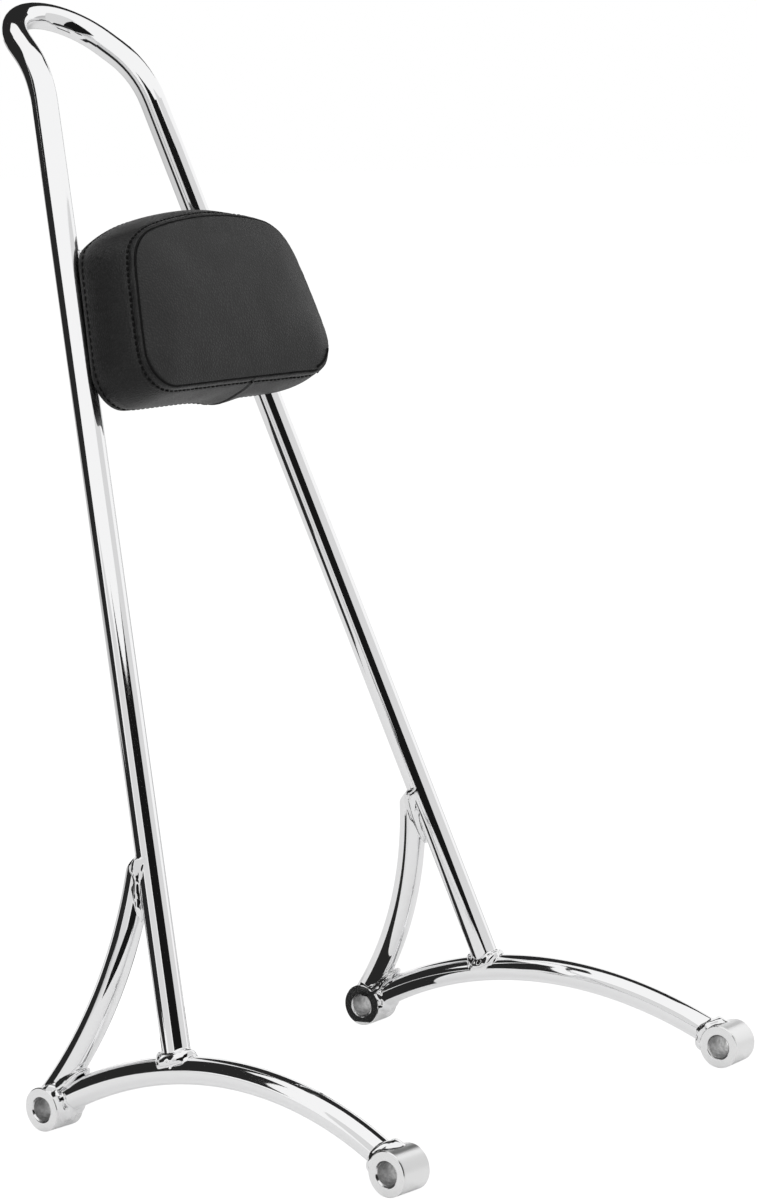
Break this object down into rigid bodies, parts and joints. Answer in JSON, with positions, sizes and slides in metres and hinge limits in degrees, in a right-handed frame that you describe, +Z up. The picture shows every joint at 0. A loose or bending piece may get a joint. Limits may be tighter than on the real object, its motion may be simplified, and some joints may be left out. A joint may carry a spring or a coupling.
{
  "type": "sissy bar",
  "caption": "Chromed round-bar sissy bar: tall hoop on arched side rails with curved struts, drilled mounting bungs and a padded vinyl backrest.",
  "frame": {"origin": "middle of the footprint, on the floor the four bungs stand on", "axes": "+X forwards to the motorcycle's front, +Y to the left, +Z up"},
  "size_m": [0.3879, 0.3466, 0.6397],
  "materials": {
    "chrome_bar": "polished",
    "chrome_weld": "polished, lumpy",
    "bung_metal": "satin",
    "pad_vinyl": "satin grain",
    "pad_foam": "matt",
    "pad_board": "matt",
    "pad_panel": "matt",
    "zinc_hardware": "zinc"
  },
  "bodies": {
    "root": {"hoop_bar": "chrome_bar", "right_rail": "chrome_bar", "left_rail": "chrome_bar", "right_strut": "chrome_bar", "left_strut": "chrome_bar", "pad_plate": "chrome_bar", "right_leg_weld": "chrome_weld", "right_strut_tip_weld": "chrome_weld", "right_strut_foot_weld": "chrome_weld", "right_front_bung_weld": "chrome_weld", "right_rear_bung_weld": "chrome_weld", "right_plate_weld": "chrome_weld", "left_leg_weld": "chrome_weld", "left_strut_tip_weld": "chrome_weld", "left_strut_foot_weld": "chrome_weld", "left_front_bung_weld": "chrome_weld", "left_rear_bung_weld": "chrome_weld", "left_plate_weld": "chrome_weld", "right_front_bung": "bung_metal", "right_rear_bung": "bung_metal", "left_front_bung": "bung_metal", "left_rear_bung": "bung_metal", "pad_cover": "pad_vinyl", "pad_foam": "pad_foam", "pad_board": "pad_board", "pad_back_panel": "pad_panel", "pad_tee_nuts": "zinc_hardware", "pad_washers": "zinc_hardware", "pad_bolts": "zinc_hardware"}
  },
  "joints": []
}
